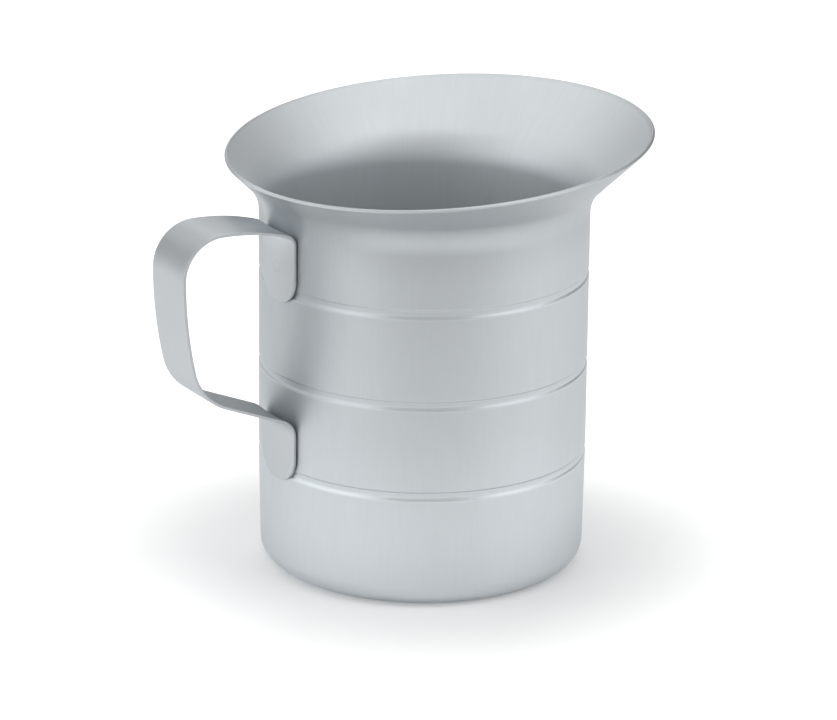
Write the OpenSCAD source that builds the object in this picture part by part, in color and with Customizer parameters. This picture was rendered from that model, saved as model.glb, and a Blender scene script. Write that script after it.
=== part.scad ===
// Aluminium melting and pouring pot.
// One drawn cup with three pressed-in ring grooves and a flared mouth that is trimmed on a
// tilt, and one bent strap handle whose two end tabs are spot-welded to the wall.
// Origin: centre of the underside. +Z is up, the handle is toward -X, the pouring side +X.

/* [Pot] */
// Outer diameter of the straight wall
body_d = 130; // [100:1:170]
// Thickness of the sheet that the pot is drawn from
wall_t = 1.4; // [1:0.1:2.5]
// Outer radius of the corner between the base and the wall
base_corner_r = 8.5; // [4:0.5:14]
// How far the wall draws in on each side between the lowest groove and that corner
foot_draft = 0.6; // [0:0.1:1.5]

/* [Grooves] */
// Height of the lowest groove's upper edge above the base
first_groove_z = 48.5; // [38:0.5:52]
// Distance from one groove to the next
groove_pitch = 36.8; // [20:0.1:40]
// Height of a groove from edge to edge
groove_h = 4.2; // [2.2:0.1:6]
// How far a groove is pressed in
groove_depth = 0.5; // [0.3:0.1:1.2]

/* [Mouth] */
// Height above the base where the wall starts to flare
neck_z = 143; // [140:0.5:148]
// Radius of the neck's curve, on the outside
neck_r = 18; // [10:0.5:22]
// Angle of the flare from the vertical
flare_angle = 45.7; // [40:0.1:48]
// Height of the rim's plane where it crosses the pot's axis
rim_z = 169.9; // [168:0.1:176]
// Tilt of the rim, up toward the pouring side
rim_tilt = 4.6; // [0:0.1:6]
// Angle between the rim's highest point and the plane of the handle
lip_turn = 6; // [0:1:15]

/* [Handle] */
// Width of the strap
strap_w = 25.5; // [23:0.5:32]
// Thickness of the strap
strap_t = 1.2; // [0.8:0.1:2]
// Distance from the wall to the grip's outer face at its widest
handle_reach = 48.3; // [47.8:0.1:60]
// Height of the upper tab's rounded end above the base
upper_tab_z = 115.5; // [112:0.1:117]
// Length of the upper tab below its bend
upper_tab_l = 24.6; // [20:0.1:26]
// Length of the lower tab below its bend
lower_tab_l = 20; // [18:0.1:24]
// Corner radius of the tabs' ends
tab_corner_r = 10.5; // [4:0.5:11.5]

/* [Spot welds] */
// Diameter of a weld nugget
weld_d = 6.5; // [4:0.5:8]
// Depth of the dimple that the welding tip leaves in a tab
weld_dimple = 0.2; // [0.1:0.1:0.4]
// How far a nugget reaches into the pot's wall
weld_depth = 0.7; // [0.3:0.1:0.8]

/* [Hidden] */
$fn = 180;

body_r = body_d / 2;
groove_slope = 1;    // height of each slanted side of a groove
flare_top_z = 190;   // the flare is drawn up to here and then trimmed to the rim

// Where the straight stretch of the flare's inner face starts
flare_start_r = body_r + neck_r - (neck_r + wall_t) * cos(flare_angle);
flare_start_z = neck_z + (neck_r + wall_t) * sin(flare_angle);
// The tilt turns the rim into a wider ring, and shifts it toward the pouring side
rim_level_r = flare_start_r + (rim_z - flare_start_z) * tan(flare_angle);
rim_skew = tan(rim_tilt) * tan(flare_angle);
rim_r = rim_level_r / (1 - rim_skew * rim_skew);
rim_shift = rim_r * rim_skew;

// The strap's centre line turns by these radii and angles on its way round the grip
upper_bend_r = 5;
upper_arm_r = 86;
upper_arm_slope = 18;
upper_corner_r = 16.5;
grip_r = 170;
grip_lean = 12.5;
lower_corner_r = 22;
lower_arm_slope = 22.5;
lower_bend_r = 7.5;

fit_gap = 0.02;      // between the middle of a tab and the wall
tab_curl = 0.55;     // how far a tab bends round the wall: 0 is flat, 1 follows the wall
tab_x = body_r + fit_gap + strap_t / 2;
upper_bend_start = [tab_x, upper_tab_z + upper_tab_l];
lower_bend_depth = lower_bend_r * (1 - sin(lower_arm_slope));

// A move is [size, turn, curl at its start, curl at its end]. With a turn it is an arc of
// radius size, and with a turn of 0 it is a straight of length size. Curl 1 bends the
// strap's section round the pot's wall, and curl 0 leaves it flat.
upper_arm = [
    [upper_bend_r, upper_arm_slope - 90, tab_curl, tab_curl],
    [upper_arm_r, -upper_arm_slope, tab_curl, 0]
];
top_straight = body_r + handle_reach - strap_t / 2 - upper_corner_r
    - path_end(upper_bend_start, 90, upper_arm)[0];
grip = concat(upper_arm, [
    [top_straight, 0, 0, 0],
    [upper_corner_r, -90, 0, 0],
    [grip_r, -grip_lean, 0, 0],
    [lower_corner_r, grip_lean + lower_arm_slope - 90, 0, 0]
]);
lower_straight = (path_end(upper_bend_start, 90, grip)[0] - tab_x - lower_bend_depth)
    / cos(lower_arm_slope);
strap_moves = concat(grip, [
    [lower_straight, 0, 0, tab_curl],
    [lower_bend_r, 90 - lower_arm_slope, tab_curl, tab_curl]
]);
lower_bend_end = path_end(upper_bend_start, 90, strap_moves);
lower_tab_z = lower_bend_end[1] - lower_tab_l;

weld_place = 0.6;    // height of a weld on its tab, as a share of the tab's length
upper_weld_z = upper_tab_z + weld_place * upper_tab_l;
lower_weld_z = lower_tab_z + weld_place * lower_tab_l;

// Steps of the strap's surface: across it, round a tab's end, along a stretch where the
// curl changes, and the most degrees that one step of a bend turns
across = 8;
end_steps = 6;
curl_steps = 5;
turn_step = 6;

// ---- Pot body ----

// Section of the region inside the sheet's face that lies inset from the outer face
module inside_face(inset) {
    r = body_r - inset;
    foot = r - foot_draft;
    corner = base_corner_r - inset;
    neck_centre = [body_r + neck_r, neck_z];
    neck = neck_r + inset;
    neck_end = neck_centre + neck * [-cos(flare_angle), sin(flare_angle)];
    top_r = neck_end[0] + (flare_top_z - neck_end[1]) * tan(flare_angle);
    difference() {
        union() {
            polygon([
                [0, base_corner_r], [foot, base_corner_r], [r, first_groove_z - groove_h],
                [r, neck_z], [0, neck_z]
            ]);
            translate([0, inset]) square([foot - corner, base_corner_r]);
            intersection() {
                translate([foot - corner, base_corner_r]) circle(corner);
                translate([0, inset]) square([foot, corner]);
            }
            difference() {
                polygon([
                    [0, neck_z], neck_centre, neck_end, [top_r, flare_top_z], [0, flare_top_z]
                ]);
                translate(neck_centre) circle(neck);
            }
        }
        for (i = [0:2]) translate([r, first_groove_z + i * groove_pitch]) groove_section();
    }
}

// Section of one groove, with its upper edge at the origin
module groove_section() {
    polygon([
        [1, 0], [0, 0], [-groove_depth, -groove_slope],
        [-groove_depth, groove_slope - groove_h], [0, -groove_h], [1, -groove_h]
    ]);
}

// Everything under a cut that is square to the sheet all the way round the tilted rim
module below_rim() {
    drop = rim_z + rim_r;
    rotate([0, 0, lip_turn])
        translate([rim_shift, 0, rim_z + rim_shift * tan(rim_tilt)])
            rotate([0, -rim_tilt, 0])
                translate([0, 0, -drop])
                    cylinder(
                        h = drop + rim_r * tan(flare_angle),
                        r1 = rim_r + drop / tan(flare_angle), r2 = 0
                    );
}

module pot_body() {
    color("silver") difference() {
        intersection() {
            rotate_extrude() difference() {
                inside_face(0);
                inside_face(wall_t);
            }
            below_rim();
        }
        weld_slug(upper_weld_z, body_r - weld_depth, body_r + 1);
        weld_slug(lower_weld_z, body_r - weld_depth, body_r + 1);
    }
}

// ---- Strap handle ----

function heading(h) = [cos(h), sin(h)];

// Where one move ends, and where a whole list of moves ends, from point p with heading h
function move_end(p, h, size, turn) =
    turn == 0 ? p + size * heading(h)
    : p + sign(turn) * size * [sin(h + turn) - sin(h), cos(h) - cos(h + turn)];
function path_end(p, h, moves, i = 0) =
    i == len(moves) ? p
    : path_end(move_end(p, h, moves[i][0], moves[i][1]), h + moves[i][1], moves, i + 1);

// A station is [point on the centre line, heading, curl, half width]
function stations(p, h, moves, i = 0) =
    i == len(moves) ? []
    : let (
        size = moves[i][0], turn = moves[i][1], curl = moves[i][2], change = moves[i][3] - curl,
        steps = max(change == 0 ? 1 : curl_steps, ceil(abs(turn) / turn_step))
    ) concat(
        [for (s = [0:steps - 1]) let (f = s / steps) [
            turn == 0 ? p + f * size * heading(h) : f == 0 ? p : move_end(p, h, size, f * turn),
            h + f * turn, curl + change * ease(f), strap_w / 2
        ]],
        stations(move_end(p, h, size, turn), h + turn, moves, i + 1)
    );
function ease(f) = f * f * (3 - 2 * f);

// Stations of a tab's rounded end, with z as the height of the end
function tab_end(z, up, h) = [for (s = [0:end_steps]) let (a = 90 * s / end_steps) [
    [tab_x, z + up * tab_corner_r * (1 - cos(a))], h, tab_curl,
    strap_w / 2 - tab_corner_r * (1 - sin(a))
]];

// One side of the strap's section at a station: offset stands off the centre line, and n
// runs across the strap
function face_point(st, offset, n) = [
    st[2] * (body_r - sqrt(body_r * body_r - n * n)) - st[0][0] + offset * sin(st[1]),
    n,
    st[0][1] + offset * cos(st[1])
];
function section(st) = concat(
    [for (j = [0:across]) face_point(st, strap_t / 2, st[3] * (2 * j / across - 1))],
    [for (j = [across:-1:0]) face_point(st, -strap_t / 2, st[3] * (2 * j / across - 1))]
);

module handle_strap() {
    upper_end = tab_end(upper_tab_z, 1, 90);
    lower_end = tab_end(lower_tab_z, 1, -90);
    all = concat(
        upper_end,
        stations(upper_bend_start, 90, strap_moves),
        [[lower_bend_end, -90, tab_curl, strap_w / 2]],
        [for (s = [end_steps:-1:0]) lower_end[s]]
    );
    ring = 2 * (across + 1);
    color("lightgray") difference() {
        polyhedron(
            points = [for (st = all) each section(st)],
            faces = concat(
                [[for (j = [0:ring - 1]) j]],
                [for (i = [0:len(all) - 2], j = [0:ring - 1]) let (k = (j + 1) % ring)
                    [i * ring + j, (i + 1) * ring + j, (i + 1) * ring + k, i * ring + k]],
                [[for (j = [ring - 1:-1:0]) (len(all) - 1) * ring + j]]
            )
        );
        weld_slug(upper_weld_z, body_r - 1, body_r + strap_t + 1);
        weld_slug(lower_weld_z, body_r - 1, body_r + strap_t + 1);
    }
}

// ---- Spot welds ----

// A round slug at height z that points at the pot's axis, between two distances from it
module weld_slug(z, near, far) {
    translate([-far, 0, z]) rotate([0, 90, 0]) cylinder(h = far - near, d = weld_d, $fn = 48);
}

module weld(z) {
    color("gainsboro")
        weld_slug(z, body_r - weld_depth, body_r + fit_gap + strap_t - weld_dimple);
}

module upper_weld() { weld(upper_weld_z); }
module lower_weld() { weld(lower_weld_z); }

pot_body();
handle_strap();
upper_weld();
lower_weld();
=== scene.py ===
import math

import bpy
import numpy as np
from mathutils import Matrix, Vector


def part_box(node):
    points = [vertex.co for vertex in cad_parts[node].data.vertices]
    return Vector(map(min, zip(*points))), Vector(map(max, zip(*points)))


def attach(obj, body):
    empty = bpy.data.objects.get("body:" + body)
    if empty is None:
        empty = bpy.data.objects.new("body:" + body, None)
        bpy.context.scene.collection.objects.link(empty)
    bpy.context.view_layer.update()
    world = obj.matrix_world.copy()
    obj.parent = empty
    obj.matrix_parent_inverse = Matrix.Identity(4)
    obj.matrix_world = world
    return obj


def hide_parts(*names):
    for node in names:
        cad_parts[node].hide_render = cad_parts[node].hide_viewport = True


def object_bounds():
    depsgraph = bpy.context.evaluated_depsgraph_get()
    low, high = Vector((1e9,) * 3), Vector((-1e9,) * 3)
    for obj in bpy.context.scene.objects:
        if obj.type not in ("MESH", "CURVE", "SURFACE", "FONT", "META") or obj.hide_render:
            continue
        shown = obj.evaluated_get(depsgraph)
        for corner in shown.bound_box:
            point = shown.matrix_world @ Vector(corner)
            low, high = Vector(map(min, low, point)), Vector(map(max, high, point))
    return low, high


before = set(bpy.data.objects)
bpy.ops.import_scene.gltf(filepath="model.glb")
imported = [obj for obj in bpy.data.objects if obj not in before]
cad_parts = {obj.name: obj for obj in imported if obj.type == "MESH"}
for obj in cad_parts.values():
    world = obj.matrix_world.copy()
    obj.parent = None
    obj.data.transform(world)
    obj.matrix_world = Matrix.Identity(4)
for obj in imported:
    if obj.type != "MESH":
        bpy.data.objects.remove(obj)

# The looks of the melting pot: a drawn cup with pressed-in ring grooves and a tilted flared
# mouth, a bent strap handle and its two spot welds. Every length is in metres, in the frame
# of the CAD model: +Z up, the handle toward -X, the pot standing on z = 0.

cad_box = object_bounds()
MM = 0.001

# ---- Sizes that the frame gives ----

pot_points = np.array([v.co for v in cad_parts["pot_body"].data.vertices])
pot_radii = np.hypot(pot_points[:, 0], pot_points[:, 1])
strap_low, strap_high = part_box("handle_strap")
upper_weld_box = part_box("upper_weld")
lower_weld_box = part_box("lower_weld")

WALL_R = pot_radii[pot_points[:, 2] < 100 * MM].max()
STRAP_W = strap_high.y - strap_low.y
REACH_X = -strap_low.x                       # the grip's outer face, from the pot's axis
WELD_D = upper_weld_box[1].y - upper_weld_box[0].y
UPPER_WELD_Z = (upper_weld_box[0].z + upper_weld_box[1].z) / 2
LOWER_WELD_Z = (lower_weld_box[0].z + lower_weld_box[1].z) / 2
WELD_TOP_X = -upper_weld_box[0].x            # the nugget's outer end, from the pot's axis
WELD_FOOT_X = -upper_weld_box[1].x           # the nugget's end inside the wall

# ---- Sizes of the pot ----

SHEET = 1.4 * MM
BASE_CORNER_R = 8.5 * MM
FOOT_DRAFT = 0.6 * MM                        # how far the wall draws in below the lowest groove
GROOVE_TOPS = [(48.5 + 36.8 * i) * MM for i in range(3)]
GROOVE_H = 4.2 * MM
GROOVE_DEPTH = 0.5 * MM
GROOVE_UPPER_EDGE = 1.0 * MM
GROOVE_LOWER_EDGE = 1.5 * MM
NECK_Z = 143 * MM
NECK_R = 18 * MM
FLARE = math.radians(45.7)
RIM_Z = 169.9 * MM
RIM_TILT = math.radians(4.6)
LIP_TURN = math.radians(6)
RIM_EDGE_R = 0.3 * MM
LONGEST_FLARE = 60 * MM                      # more than the flare's slant length anywhere
HALVINGS = 40                                # of that length, to find where the rim cuts it
INSIDE = "inside"                            # the pot's point attribute: 1 on the inner face

# ---- Fineness of the pot's mesh ----

AROUND = 288                                 # points in each ring
BASE_RINGS = 14
CORNER_RINGS = 15
WALL_RINGS = 40                              # without those across the grooves
GROOVE_STEP = 0.12 * MM                      # between the rings across a groove
GROOVE_MARGIN = 0.6 * MM                     # how far those rings go past the groove
NECK_RINGS = 24
FLARE_RINGS = 16
RIM_RINGS = 6                                # round each of the rim's two edges

# ---- Sizes of the strap ----

STRAP_T = 1.2 * MM
STRAP_EDGE_R = 0.25 * MM
EDGE_STEPS = 1 - np.cos(np.radians([0, 22, 40, 58, 75, 90]))    # across that edge's radius
TAB_CORNER_R = 10.5 * MM
FIT_GAP = 0.02 * MM
TAB_CURL = 0.55                              # 0 is a flat tab, and 1 follows the wall
UPPER_TAB_Z = 115.5 * MM
UPPER_TAB_L = 24.6 * MM
LOWER_TAB_L = 20 * MM
UPPER_BEND_R = 5 * MM
UPPER_ARM_R = 86 * MM
UPPER_ARM_SLOPE = math.radians(18)
UPPER_CORNER_R = 16.5 * MM
GRIP_R = 170 * MM
GRIP_LEAN = math.radians(12.5)
LOWER_CORNER_R = 22 * MM
LOWER_ARM_SLOPE = math.radians(22.5)
LOWER_BEND_R = 7.5 * MM
TAB_X = WALL_R + FIT_GAP + STRAP_T / 2
DIMPLE_DEPTH = TAB_X + STRAP_T / 2 - WELD_TOP_X
DIMPLE_EDGE = 0.9 * MM                       # width of the slope round the dimple
STRAP_STEP = 0.7 * MM                        # between the rows along the strap
STRAP_COLUMNS = 43                           # across the strap, without its two edges

# ---- Sizes of the welds ----

WELD_PROUD = 0.03 * MM                       # how far a nugget stands out of its dimple
WELD_DOME = 0.05 * MM
WELD_RIM_R = 0.25 * MM
WELD_AROUND = 48                             # points in each ring of a weld

# ---- Tones and textures of the metal ----

POT_TONE = (0.545, 0.575, 0.595)
POT_SPREAD = 0.02                            # the share by which the clouds and grain change a tone
POT_ROUGHNESS = 0.46
# Lighter than the outer tone: painted light, for the light that bounces round inside the pot.
INSIDE_TONE = (0.665, 0.695, 0.715)
INSIDE_ROUGHNESS = 0.62
STRAP_TONE = (0.515, 0.54, 0.56)
STRAP_SPREAD = 0.02
STRAP_ROUGHNESS = 0.5
WELD_SPREAD = 0.03
ROUGHNESS_SWING = 0.03                       # how far the clouds and grain change the roughness
NOISE_RANGE = 0.25, 0.75                     # where nearly all of a noise's values lie
CLOUD_SCALE = 28
SKIN_SCALE = 1500
GRAZING_TINT = (0.8, 0.8, 0.8, 1)            # keeps the shine down at grazing angles
SKIN_BUMP = 0.12, 0.05 * MM                  # the bump's strength and depth
GRAIN_BUMP = 0.15, 0.04 * MM
POT_GRAIN = 55, 60                           # how fine the grain is round the pot, and up it
STRAP_GRAIN = 160, 1600, 160

# Changes over the pot, each with the place, or the two places between which, it happens: gains
# on the tone, which paint light and shade onto the metal, and one addition to the roughness.
FOOT_TO_WALL = 1.18, 1                       # painted light: brighter at the foot, where the bright floor is reflected
FOOT_TO_WALL_Z = 5 * MM, 80 * MM
WALL_TO_NECK = 1, 0.87                       # painted shade: darker outside at the neck, under the flare
WALL_TO_NECK_Z = 128 * MM, 154 * MM
DEPTH_TO_MOUTH = 0.93, 1                     # painted shade: darker inside, further below the mouth
DEPTH_TO_MOUTH_Z = 125 * MM, 155 * MM
GROOVE_HIGHLIGHT_GAIN = 1.22                          # painted highlight on each groove's lower edge
NECK_JOINT_LIGHT_GAIN = 1.4                            # painted light where the handle meets the neck, lifting the shade there
NECK_JOINT_LIGHT_PLACE = (-69 * MM, 0, 153 * MM)
NECK_JOINT_LIGHT_R = 24 * MM
MATT_BY_HANDLE = 0.13                        # added roughness of the wall beside the handle
MATT_BY_HANDLE_X = -62 * MM, -40 * MM


# ---- Mesh helpers ----

def ramp(t):
    """A smooth step from 0 at t = 0 to 1 at t = 1."""
    t = np.clip(t, 0, 1)
    return t * t * (3 - 2 * t)


def mesh_object(name, points, faces, material):
    mesh = bpy.data.meshes.new(name)
    mesh.from_pydata([tuple(p) for p in points], [], faces)
    mesh.validate()
    mesh.polygons.foreach_set("use_smooth", [True] * len(mesh.polygons))
    mesh.materials.append(material)
    piece = bpy.data.objects.new(name, mesh)
    bpy.context.scene.collection.objects.link(piece)
    return piece


def lathe(name, rings, material):
    """A closed body of revolution from rings[i, j] points. The first and the last ring are
    single points, one on each end of the outline."""
    count, around = rings.shape[:2]
    points = [rings[0, 0], *rings[1:-1].reshape(-1, 3), rings[-1, 0]]
    last = len(points) - 1
    faces = []
    for j in range(around):
        k = (j + 1) % around
        faces.append((0, 1 + k, 1 + j))
        faces.extend(
            (1 + i * around + j, 1 + i * around + k,
             1 + (i + 1) * around + k, 1 + (i + 1) * around + j)
            for i in range(count - 3)
        )
        low = 1 + (count - 3) * around
        faces.append((low + j, low + k, last))
    return mesh_object(name, points, faces, material)


# ---- Pot body ----

def groove_press(z):
    """How far the wall is pressed in at height z."""
    press = np.zeros_like(z)
    for top in GROOVE_TOPS:
        upper = ramp((top - z) / GROOVE_UPPER_EDGE)
        lower = ramp((z - (top - GROOVE_H)) / GROOVE_LOWER_EDGE)
        press = np.maximum(press, GROOVE_DEPTH * upper * lower)
    return press


def foot_draw(z):
    """How far the wall has drawn in at height z, on its way down from the lowest groove."""
    top = GROOVE_TOPS[0] - GROOVE_H
    return FOOT_DRAFT * np.clip((top - z) / (top - BASE_CORNER_R), 0, 1)


def wall_heights():
    """Heights of the rings up the wall, close together across each groove."""
    plain = np.linspace(BASE_CORNER_R, NECK_Z, WALL_RINGS)
    near = [np.arange(top - GROOVE_H - GROOVE_MARGIN, top + GROOVE_MARGIN, GROOVE_STEP)
            for top in GROOVE_TOPS]
    away = [z for z in plain if all(not (n[0] - MM < z < n[-1] + MM) for n in near)]
    return np.sort(np.concatenate([away, *near]))


def face_outline(inset):
    """Outline of one face of the sheet, inset from the outer face, as (radius, height) from
    the middle of the base to the end of the neck's curve."""
    radius = WALL_R - inset
    corner = BASE_CORNER_R - inset
    flat = radius - FOOT_DRAFT - corner
    base = [(r, inset) for r in np.linspace(0, flat, BASE_RINGS)]
    turn = np.radians(np.linspace(-90, 0, CORNER_RINGS)[1:-1])
    bend = [(flat + corner * math.cos(a), BASE_CORNER_R + corner * math.sin(a)) for a in turn]
    heights = wall_heights()
    wall = list(zip(radius - groove_press(heights) - foot_draw(heights), heights))
    neck = NECK_R + inset
    curve = [(WALL_R + NECK_R - neck * math.cos(a), NECK_Z + neck * math.sin(a))
             for a in np.linspace(0, FLARE, NECK_RINGS)[1:]]
    return np.array([*base, *bend, *wall, *curve])


def flare_length(start, angles):
    """How far the flare runs from start, a (radius, height), to the rim's tilted cut."""
    level_start = (WALL_R + NECK_R - (NECK_R + SHEET) * math.cos(FLARE),
                   NECK_Z + (NECK_R + SHEET) * math.sin(FLARE))
    level_r = level_start[0] + (RIM_Z - level_start[1]) * math.tan(FLARE)
    skew = math.tan(RIM_TILT) * math.tan(FLARE)
    rim_r = level_r / (1 - skew * skew)
    shift = rim_r * skew
    low, high = np.zeros_like(angles), np.full_like(angles, LONGEST_FLARE)
    for _ in range(HALVINGS):
        length = (low + high) / 2
        r = start[0] + length * math.sin(FLARE)
        z = start[1] + length * math.cos(FLARE)
        x, y = r * np.cos(angles - LIP_TURN) - shift, r * np.sin(angles - LIP_TURN)
        z = z - RIM_Z - shift * math.tan(RIM_TILT)
        across = x * math.cos(RIM_TILT) + z * math.sin(RIM_TILT)
        along = -x * math.sin(RIM_TILT) + z * math.cos(RIM_TILT)
        inside = np.hypot(across, y) < rim_r - along / math.tan(FLARE)
        low, high = np.where(inside, length, low), np.where(inside, high, length)
    return length


def pot_rings():
    """Rings of the pot's surface: up the outer face, over the rim and down the inner face. Also
    gives 0 for each ring outside, 1 for each ring inside, and 0.5 for the rim's cut edge."""
    angles = np.arange(AROUND) * 2 * math.pi / AROUND
    along = np.array([math.sin(FLARE), math.cos(FLARE)])
    across = np.array([-math.cos(FLARE), math.sin(FLARE)])
    outer, inner = face_outline(0), face_outline(SHEET)
    edge = {}
    for face, outline in (("outer", outer), ("inner", inner)):
        length = flare_length(outline[-1], angles)
        edge[face] = outline[-1] + length[:, None] * along
    share = np.linspace(0, 1, FLARE_RINGS)[1:, None, None]
    rows = [np.repeat(outer[:, None, :], AROUND, axis=1)]
    rows.append(outer[-1] + share * (edge["outer"] - RIM_EDGE_R * along - outer[-1]))
    steps = np.radians(np.linspace(0, 90, RIM_RINGS))[1:]
    centre = edge["outer"] - RIM_EDGE_R * along + RIM_EDGE_R * across
    rows.append([centre + RIM_EDGE_R * (math.sin(a) * along - math.cos(a) * across) for a in steps])
    centre = edge["inner"] - RIM_EDGE_R * along - RIM_EDGE_R * across
    rows.append([centre + RIM_EDGE_R * (math.cos(a) * along + math.sin(a) * across)
                 for a in [0, *steps]])
    rows.append((inner[-1] + share * (edge["inner"] - RIM_EDGE_R * along - inner[-1]))[-2::-1])
    rows.append(np.repeat(inner[::-1, None, :], AROUND, axis=1))
    inside = np.repeat([0, 0, 0.5, 0.5, 1, 1], [len(part) for part in rows])
    rows = np.concatenate(rows)
    rings = np.stack([rows[..., 0] * np.cos(angles), rows[..., 0] * np.sin(angles), rows[..., 1]], -1)
    return rings, inside


def make_pot(material):
    rings, inside = pot_rings()
    pot = lathe("drawn_pot", rings, material)
    per_point = np.concatenate([inside[:1], np.repeat(inside[1:-1], AROUND), inside[-1:]])
    attribute = pot.data.attributes.new(INSIDE, "FLOAT", "POINT")
    attribute.data.foreach_set("value", per_point.astype(np.float32))
    return pot


# ---- Strap ----

def heading(angle):
    return np.array([math.cos(angle), math.sin(angle)])


def move_end(p, h, size, turn):
    """End of a straight of length size, or of an arc of radius size that turns by turn."""
    if turn == 0:
        return p + size * heading(h)
    side = math.copysign(size, turn)
    return p + side * np.array([math.sin(h + turn) - math.sin(h), math.cos(h) - math.cos(h + turn)])


def path_end(p, h, moves):
    for size, turn, *_ in moves:
        p, h = move_end(p, h, size, turn), h + turn
    return p


def strap_moves():
    """Moves along the strap's centre line, as in the CAD model: size, turn, and how far the
    strap's section is curled round the wall at the move's start and at its end."""
    right = math.pi / 2
    start = np.array([TAB_X, UPPER_TAB_Z + UPPER_TAB_L])
    moves = [
        (UPPER_BEND_R, UPPER_ARM_SLOPE - right, TAB_CURL, TAB_CURL),
        (UPPER_ARM_R, -UPPER_ARM_SLOPE, TAB_CURL, 0),
    ]
    top_straight = REACH_X - STRAP_T / 2 - UPPER_CORNER_R - path_end(start, right, moves)[0]
    moves += [
        (top_straight, 0, 0, 0),
        (UPPER_CORNER_R, -right, 0, 0),
        (GRIP_R, -GRIP_LEAN, 0, 0),
        (LOWER_CORNER_R, GRIP_LEAN + LOWER_ARM_SLOPE - right, 0, 0),
    ]
    bend_depth = LOWER_BEND_R * (1 - math.sin(LOWER_ARM_SLOPE))
    gap = path_end(start, right, moves)[0] - TAB_X - bend_depth
    moves += [
        (gap / math.cos(LOWER_ARM_SLOPE), 0, 0, TAB_CURL),
        (LOWER_BEND_R, right - LOWER_ARM_SLOPE, TAB_CURL, TAB_CURL),
    ]
    tab = (0, TAB_CURL, TAB_CURL)
    return [(UPPER_TAB_L, *tab), *moves, (LOWER_TAB_L, *tab)]


def tip_steps():
    """Distances from a tab's end at which the strap gets a row, so that its end is round."""
    corner = TAB_CORNER_R * (1 - np.cos(np.radians(np.arange(20, 91, 5))))
    return np.concatenate([STRAP_EDGE_R * EDGE_STEPS, corner])


def strap_stations():
    """Rows along the strap: centre-line point, heading, curl, and distance from each end."""
    moves = strap_moves()
    lengths = [size * abs(turn) if turn else size for size, turn, *_ in moves]
    total = sum(lengths)
    marks = np.concatenate([tip_steps(), total - tip_steps(), np.cumsum(lengths)[:-1],
                            np.arange(TAB_CORNER_R, total - TAB_CORNER_R, STRAP_STEP)])
    marks = np.sort(marks)
    marks = marks[np.concatenate([[True], np.diff(marks) > 0.01 * MM])]
    stations = []
    for mark in marks:
        p, h, run = np.array([TAB_X, UPPER_TAB_Z]), math.pi / 2, 0
        for (size, turn, curl, curl_end), length in zip(moves, lengths):
            part = min(max((mark - run) / length, 0), 1)
            if mark <= run + length + 1e-9:
                break
            p, h, run = move_end(p, h, size, turn), h + turn, run + length
        point = move_end(p, h, size, part * turn) if turn else p + part * size * heading(h)
        bent = curl + (curl_end - curl) * float(ramp(part))
        stations.append((point, h + part * turn, bent, mark, total - mark))
    return stations


def tab_half_width(run):
    """Half the strap's width at a distance from its rounded end."""
    if run >= TAB_CORNER_R:
        return STRAP_W / 2
    reach = math.sqrt(TAB_CORNER_R ** 2 - (TAB_CORNER_R - run) ** 2)
    return STRAP_W / 2 - TAB_CORNER_R + reach


def edge_distance(run, n):
    """Distance from the strap's outline, at a run from its end and n across it."""
    flat = STRAP_W / 2 - TAB_CORNER_R
    side = STRAP_W / 2 - abs(n)
    if run < TAB_CORNER_R and abs(n) > flat:
        return max(TAB_CORNER_R - math.hypot(TAB_CORNER_R - run, abs(n) - flat), 0)
    return min(run, side) if run < TAB_CORNER_R else side


def strap_columns():
    """Places across the strap from -1 to 1, close together at its two edges."""
    half = STRAP_W / 2
    edge = 1 - STRAP_EDGE_R / half * EDGE_STEPS
    middle = np.linspace(-edge[-1], edge[-1], STRAP_COLUMNS)
    return np.concatenate([-edge[:-1], middle, edge[-2::-1]])


def pressed_by_weld(n, z):
    """How deep the welding tips have pressed the tabs' outer faces at this place."""
    depth = 0
    for weld_z in (UPPER_WELD_Z, LOWER_WELD_Z):
        beyond = math.hypot(n, z - weld_z) - WELD_D / 2
        depth = max(depth, DIMPLE_DEPTH * float(ramp(-beyond / DIMPLE_EDGE)))
    return depth


def strap_point(station, side, column):
    """A point of the strap's surface: side 1 or -1 of its centre line, column -1 to 1."""
    (x, z), h, curl, from_upper, from_lower = station
    run = min(from_upper, from_lower)
    n = column * tab_half_width(run)
    inset = max(STRAP_EDGE_R - edge_distance(run, n), 0)
    offset = side * (STRAP_T / 2 - STRAP_EDGE_R + math.sqrt(STRAP_EDGE_R ** 2 - inset ** 2))
    px = curl * (WALL_R - math.sqrt(WALL_R ** 2 - n * n)) - x + offset * math.sin(h)
    pz = z + offset * math.cos(h)
    if run < LOWER_TAB_L and offset * math.sin(h) < 0:
        px += pressed_by_weld(n, pz)
    return px, n, pz


def make_strap(material):
    stations, columns = strap_stations(), strap_columns()
    across = len(columns)
    points = [
        strap_point(station, side, column)
        for station in stations
        for side, line in ((1, columns), (-1, columns[::-1]))
        for column in line
    ]
    ring, rows = 2 * across, len(stations)
    faces = [
        (i * ring + j, i * ring + (j + 1) % ring, (i + 1) * ring + (j + 1) % ring, (i + 1) * ring + j)
        for i in range(rows - 1) for j in range(ring)
    ]
    for row, turned in ((0, False), (rows - 1, True)):
        for j in range(across - 1):
            face = (row * ring + j, row * ring + j + 1,
                    row * ring + ring - 2 - j, row * ring + ring - 1 - j)
            faces.append(face if turned else face[::-1])
    return mesh_object("strap_handle", points, faces, material)


# ---- Welds ----

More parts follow.
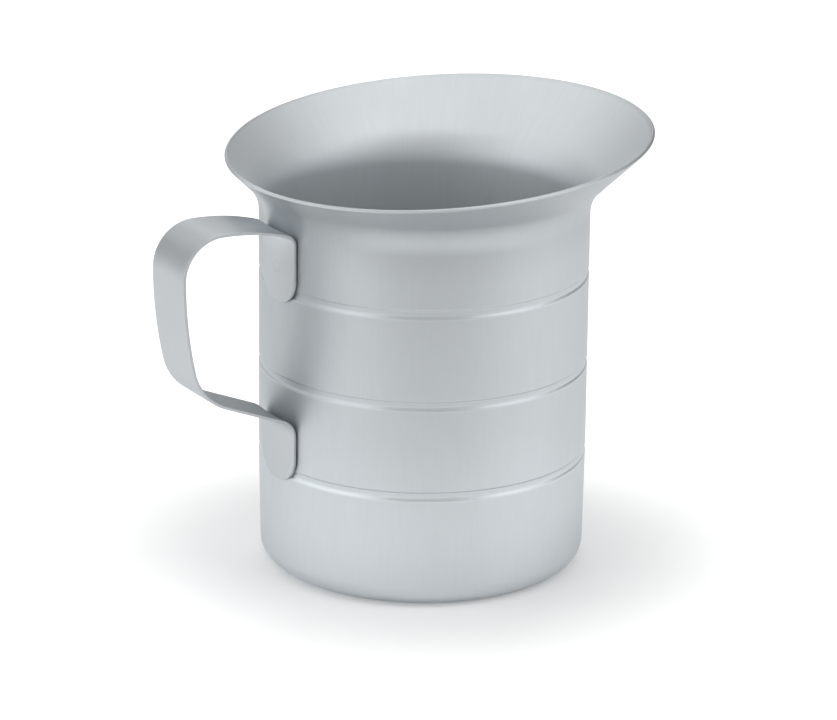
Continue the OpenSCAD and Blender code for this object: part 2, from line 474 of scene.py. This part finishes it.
def make_weld(name, z, material):
    """A weld nugget: a disc from inside the wall to the dimple in the tab, where its slightly
    domed end follows the curve of the wall."""
    radius = WELD_D / 2
    flat = radius - WELD_RIM_R
    crown = [(r, WELD_TOP_X + WELD_PROUD - WELD_DOME * (r / radius) ** 2)
             for r in np.linspace(0, flat, 8)]
    shoulder = [(flat + WELD_RIM_R * math.sin(a), crown[-1][1] - WELD_RIM_R * (1 - math.cos(a)))
                for a in np.radians([20, 45, 70, 90])]
    foot = [(radius, WELD_FOOT_X), (radius / 2, WELD_FOOT_X), (0, WELD_FOOT_X)]
    out, reach = np.array([*crown, *shoulder, *foot]).T
    angles = np.arange(WELD_AROUND) * 2 * math.pi / WELD_AROUND
    n, up = out[:, None] * np.cos(angles), out[:, None] * np.sin(angles)
    x = TAB_CURL * (WALL_R - np.sqrt(WALL_R ** 2 - n * n)) - reach[:, None]
    return lathe(name, np.stack([x, n, z + up], -1), material)


# ---- Materials ----

class Nodes:
    """Short calls for building one material's node tree."""

    def __init__(self, name):
        self.material = bpy.data.materials.new(name)
        self.material.use_nodes = True
        self.tree = self.material.node_tree
        self.shader = self.tree.nodes["Principled BSDF"]
        self.place = self.add("ShaderNodeTexCoord").outputs["Object"]

    def add(self, kind, **settings):
        node = self.tree.nodes.new(kind)
        for key, value in settings.items():
            setattr(node, key, value)
        return node

    def link(self, source, target):
        self.tree.links.new(source, target)

    def math(self, operation, a, b=0.0):
        node = self.add("ShaderNodeMath", operation=operation)
        for socket, value in zip(node.inputs, (a, b)):
            if isinstance(value, (int, float)):
                socket.default_value = value
            else:
                self.link(value, socket)
        return node.outputs[0]

    def stretched(self, scale):
        """The object's coordinates, scaled along each axis."""
        node = self.add("ShaderNodeVectorMath", operation="MULTIPLY")
        self.link(self.place, node.inputs[0])
        node.inputs[1].default_value = scale
        return node.outputs[0]

    def axes(self, vector):
        node = self.add("ShaderNodeSeparateXYZ")
        self.link(vector, node.inputs[0])
        return node.outputs

    def noise(self, vector, scale, detail=3.0, roughness=0.55):
        node = self.add("ShaderNodeTexNoise")
        self.link(vector, node.inputs["Vector"])
        node.inputs["Scale"].default_value = scale
        node.inputs["Detail"].default_value = detail
        node.inputs["Roughness"].default_value = roughness
        return node.outputs["Fac"]

    def between(self, value, low, high):
        """A noise value taken from NOISE_RANGE to the range low to high."""
        node = self.add("ShaderNodeMapRange")
        self.link(value, node.inputs["Value"])
        node.inputs["From Min"].default_value = NOISE_RANGE[0]
        node.inputs["From Max"].default_value = NOISE_RANGE[1]
        node.inputs["To Min"].default_value = low
        node.inputs["To Max"].default_value = high
        return node.outputs["Result"]

    def ramp(self, value, start, end, low, high):
        """A smooth change from low, where value is start, to high, where it is end."""
        node = self.add("ShaderNodeMapRange", interpolation_type="SMOOTHSTEP")
        self.link(value, node.inputs["Value"])
        node.inputs["From Min"].default_value = start
        node.inputs["From Max"].default_value = end
        node.inputs["To Min"].default_value = low
        node.inputs["To Max"].default_value = high
        return node.outputs["Result"]

    def blend(self, factor, dark, light):
        node = self.add("ShaderNodeMix", data_type="RGBA")
        self.link(factor, node.inputs["Factor"])
        node.inputs["A"].default_value = (*dark, 1)
        node.inputs["B"].default_value = (*light, 1)
        return node.outputs["Result"]

    def bump(self, height, strength, distance, normal=None):
        node = self.add("ShaderNodeBump")
        self.link(height, node.inputs["Height"])
        node.inputs["Strength"].default_value = strength
        node.inputs["Distance"].default_value = distance
        if normal:
            self.link(normal, node.inputs["Normal"])
        return node.outputs["Normal"]


def pot_grain(n):
    """Coordinates that wrap round the pot: its direction from the axis, and its height, each
    scaled. Grain drawn in them runs straight up the wall, and fans out along the flare."""
    around, up = POT_GRAIN
    unit = n.add("ShaderNodeVectorMath", operation="NORMALIZE")
    n.link(n.stretched((1, 1, 0)), unit.inputs[0])
    direction = n.axes(unit.outputs[0])
    joined = n.add("ShaderNodeCombineXYZ")
    n.link(n.math("MULTIPLY", direction["X"], around), joined.inputs["X"])
    n.link(n.math("MULTIPLY", direction["Y"], around), joined.inputs["Y"])
    n.link(n.math("MULTIPLY", n.axes(n.place)["Z"], up), joined.inputs["Z"])
    return joined.outputs[0]


def strap_grain(n):
    return n.stretched(STRAP_GRAIN)


def tones(n, mixed, tone, spread):
    """A colour that varies with mixed by the share spread on both sides of tone."""
    dark, light = ([c * (1 + side * spread) for c in tone] for side in (-1, 1))
    return n.blend(n.between(mixed, 0, 1), dark, light)


def uneven(n, mixed, roughness):
    return n.between(mixed, roughness + ROUGHNESS_SWING, roughness - ROUGHNESS_SWING)


def aluminium(name, tone, spread, roughness, grain):
    """Satin aluminium: cloudy tone, directional grain and a fine pitted skin. Returns the node
    tree, and the pattern that its tone and roughness follow."""
    n = Nodes(name)
    clouds = n.noise(n.place, CLOUD_SCALE, 4)
    grain_lines = n.noise(grain(n), 1, 3, 0.6)
    skin = n.noise(n.place, SKIN_SCALE, 2)
    mixed = n.math("ADD", n.math("MULTIPLY", clouds, 0.5), n.math("MULTIPLY", grain_lines, 0.5))
    n.link(tones(n, mixed, tone, spread), n.shader.inputs["Base Color"])
    n.link(uneven(n, mixed, roughness), n.shader.inputs["Roughness"])
    n.shader.inputs["Metallic"].default_value = 1
    n.shader.inputs["Specular Tint"].default_value = GRAZING_TINT
    fine = n.bump(skin, *SKIN_BUMP)
    n.link(n.bump(grain_lines, *GRAIN_BUMP, fine), n.shader.inputs["Normal"])
    return n, mixed


def scaled(n, color, factor):
    node = n.add("ShaderNodeVectorMath", operation="SCALE")
    n.link(color, node.inputs[0])
    n.link(factor, node.inputs["Scale"])
    return node.outputs["Vector"]


def paint_neck_joint_light(n):
    """Paints light round the place where the handle's upper arm meets the neck, lifting the shade
    between the arm and the neck.
    """
    away = n.add("ShaderNodeVectorMath", operation="DISTANCE")
    n.link(n.place, away.inputs[0])
    away.inputs[1].default_value = NECK_JOINT_LIGHT_PLACE
    gain = n.ramp(away.outputs["Value"], 0, NECK_JOINT_LIGHT_R, NECK_JOINT_LIGHT_GAIN, 1)
    color = n.shader.inputs["Base Color"]
    n.link(scaled(n, color.links[0].from_socket, gain), color)


def pot_aluminium():
    """The pot's metal: brushed outside and matt beside the handle, more matt on the inner face,
    with painted light and shade: a lighter inner tone for the light bouncing inside, and tone
    gains at the foot, the neck, the grooves, deep inside and at the handle's joint."""
    n, mixed = aluminium("pot_aluminium", POT_TONE, POT_SPREAD, POT_ROUGHNESS, pot_grain)
    place = n.axes(n.place)
    height = place["Z"]
    # Painted light and shade on the outer face: brighter at the foot from the floor's reflected
    # light, darker under the flare.
    outer = n.math("MULTIPLY", n.ramp(height, *FOOT_TO_WALL_Z, *FOOT_TO_WALL),
                   n.ramp(height, *WALL_TO_NECK_Z, *WALL_TO_NECK))
    # Painted highlight along each groove's lower edge, brightest at the edge's middle.
    for top in GROOVE_TOPS:
        below = n.math("SUBTRACT", height, top - GROOVE_H + GROOVE_LOWER_EDGE / 2)
        away = n.math("ABSOLUTE", below)
        shine = n.ramp(away, 0, GROOVE_LOWER_EDGE, GROOVE_HIGHLIGHT_GAIN, 1)
        outer = n.math("MULTIPLY", outer, shine)
    # Painted shade, deeper inside the pot.
    inner = n.ramp(height, *DEPTH_TO_MOUTH_Z, *DEPTH_TO_MOUTH)
    faces = n.add("ShaderNodeMix", data_type="RGBA")
    rough = n.add("ShaderNodeMix", data_type="FLOAT")
    inside = n.add("ShaderNodeAttribute", attribute_name=INSIDE).outputs["Fac"]
    color, roughness = n.shader.inputs["Base Color"], n.shader.inputs["Roughness"]
    n.link(inside, faces.inputs["Factor"])
    n.link(scaled(n, color.links[0].from_socket, outer), faces.inputs["A"])
    n.link(scaled(n, tones(n, mixed, INSIDE_TONE, POT_SPREAD), inner), faces.inputs["B"])
    n.link(faces.outputs["Result"], color)
    n.link(inside, rough.inputs["Factor"])
    matt = n.ramp(place["X"], *MATT_BY_HANDLE_X, MATT_BY_HANDLE, 0)
    n.link(n.math("ADD", roughness.links[0].from_socket, matt), rough.inputs["A"])
    n.link(uneven(n, mixed, INSIDE_ROUGHNESS), rough.inputs["B"])
    n.link(rough.outputs["Result"], roughness)
    # Painted light on the pot where the handle's upper arm meets the neck.
    paint_neck_joint_light(n)
    return n.material


# ---- Camera, floor and lights ----

VIEW_AZIMUTH = math.radians(-30.7)
CAMERA_AWAY = 1.7288                         # level distance from the pot's axis
CAMERA_HEIGHT = 0.6566
CAMERA_PITCH = math.radians(18.43)
CAMERA_YAW = math.radians(-0.058)
CAMERA_ROLL = math.radians(0.606)
CAMERA_LENS = 197.8                          # mm, on a sensor 36 mm wide
FLOOR_HALF = 8                               # half the floor's side
FLOOR_DROP = 0.05 * MM                       # keeps the floor off the pot's base
FLOOR_TONES = (0.88, 0.88, 0.88), (0.9, 0.9, 0.9)


def make_camera():
    data = bpy.data.cameras.new("camera")
    data.lens, data.sensor_width = CAMERA_LENS, 36
    camera = bpy.data.objects.new("camera", data)
    bpy.context.scene.collection.objects.link(camera)
    forward = np.array([
        math.sin(CAMERA_YAW) * math.cos(CAMERA_PITCH),
        math.cos(CAMERA_YAW) * math.cos(CAMERA_PITCH),
        -math.sin(CAMERA_PITCH),
    ])
    right = np.cross(forward, (0, 0, 1))
    right /= np.linalg.norm(right)
    up = np.cross(right, forward)
    c, s = math.cos(CAMERA_ROLL), math.sin(CAMERA_ROLL)
    turned = Matrix(np.stack([c * right + s * up, c * up - s * right, -forward], 1).tolist())
    around = Matrix.Rotation(VIEW_AZIMUTH, 4, "Z")
    place = Matrix.Translation((0, -CAMERA_AWAY, CAMERA_HEIGHT)) @ turned.to_4x4()
    camera.matrix_world = around @ place
    bpy.context.scene.camera = camera


# The floor's glow is dim under the pot, grows with the distance from its axis, and fades
# again toward the camera, in front of the pot.
GLOW_FROM_AXIS = 0.07, 0.16, 0.12, 0.42      # start, end, strength there and strength there
GLOW_TO_FRONT = 0.16, 0.4, 1, 0              # start, end, share there and share there


def glow_ramp(n, measure, start, end, low, high):
    """A smooth change over the floor: LENGTH is the distance from the pot's axis, and
    DOT_PRODUCT the distance toward the camera."""
    place = n.add("ShaderNodeVectorMath", operation=measure)
    n.link(n.place, place.inputs[0])
    place.inputs[1].default_value = (math.sin(VIEW_AZIMUTH), -math.cos(VIEW_AZIMUTH), 0)
    return n.ramp(place.outputs["Value"], start, end, low, high)


def make_floor():
    size = FLOOR_HALF
    mesh = bpy.data.meshes.new("floor")
    corners = [(-size, -size, 0), (size, -size, 0), (size, size, 0), (-size, size, 0)]
    mesh.from_pydata(corners, [], [(0, 1, 2, 3)])
    floor = bpy.data.objects.new("floor", mesh)
    bpy.context.scene.collection.objects.link(floor)
    floor.location.z = -FLOOR_DROP
    n = Nodes("white_floor")
    n.link(n.blend(n.noise(n.place, 3), *FLOOR_TONES), n.shader.inputs["Base Color"])
    glow = n.math("MULTIPLY", glow_ramp(n, "LENGTH", *GLOW_FROM_AXIS),
                  glow_ramp(n, "DOT_PRODUCT", *GLOW_TO_FRONT))
    n.link(glow, n.shader.inputs["Emission Strength"])
    n.shader.inputs["Emission Color"].default_value = (1, 1, 1, 1)
    n.shader.inputs["Roughness"].default_value = 1
    n.shader.inputs["Specular IOR Level"].default_value = 0
    mesh.materials.append(n.material)


def softbox(name, azimuth, elevation, distance, width, height, radiance):
    """A soft area light that faces the pot. Azimuth is counted from the camera's side,
    positive to the camera's right."""
    data = bpy.data.lights.new(name, "AREA")
    data.shape, data.size, data.size_y = "RECTANGLE", width, height
    data.energy = radiance * width * height * math.pi
    light = bpy.data.objects.new(name, data)
    bpy.context.scene.collection.objects.link(light)
    a, e = VIEW_AZIMUTH + math.radians(azimuth), math.radians(elevation)
    away = np.array([math.sin(a) * math.cos(e), -math.cos(a) * math.cos(e), math.sin(e)])
    aim = np.array([0, 0, cad_box[1].z / 2])
    light.location = aim + away * distance
    light.rotation_mode = "QUATERNION"
    light.rotation_quaternion = Vector(away).to_track_quat("Z", "Y")


def make_world(radiance):
    world = bpy.data.worlds.new("studio")
    world.use_nodes = True
    world.node_tree.nodes["Background"].inputs["Color"].default_value = (1, 1, 1, 1)
    world.node_tree.nodes["Background"].inputs["Strength"].default_value = radiance
    bpy.context.scene.world = world


make_camera()
make_floor()
# Each light's azimuth and elevation in degrees, distance, width, height and radiance.
softbox("left_softbox", -64, 18, 2.2, 2.6, 1.2, 1.98)
softbox("right_softbox", 69, 18, 2.2, 2.4, 1.2, 1.1)
softbox("front_softbox", 0, 22, 2.2, 1.4, 1.1, 0.55)
softbox("left_high_softbox", -112, 48, 2.2, 2.4, 1.4, 0.95)
softbox("right_high_softbox", 65, 50, 2.2, 1.6, 1.4, 1.5)
softbox("back_softbox", 180, 44, 2.2, 1.4, 1.6, 1.35)
softbox("top_softbox", 0, 88, 1.0, 0.8, 0.8, 1.4)
make_world(radiance=0.2)
bpy.context.scene.view_settings.view_transform = "Standard"

# ---- The object ----

strap_metal = ("strap_aluminium", STRAP_TONE, STRAP_SPREAD, STRAP_ROUGHNESS, strap_grain)
strap_nodes = aluminium(*strap_metal)[0]
# Painted light on the strap where its upper arm meets the neck.
paint_neck_joint_light(strap_nodes)
weld_metal = ("weld_aluminium", STRAP_TONE, WELD_SPREAD, STRAP_ROUGHNESS, strap_grain)
weld_material = aluminium(*weld_metal)[0].material
pieces = [
    (make_pot(pot_aluminium()), "pot_body", "pot_aluminium"),
    (make_strap(strap_nodes.material), "handle_strap", "strap_aluminium"),
    (make_weld("upper_spot_weld", UPPER_WELD_Z, weld_material), "upper_weld", "weld_aluminium"),
    (make_weld("lower_spot_weld", LOWER_WELD_Z, weld_material), "lower_weld", "weld_aluminium"),
]
for piece, node, slot in pieces:
    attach(piece, "root")
    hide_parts(node)
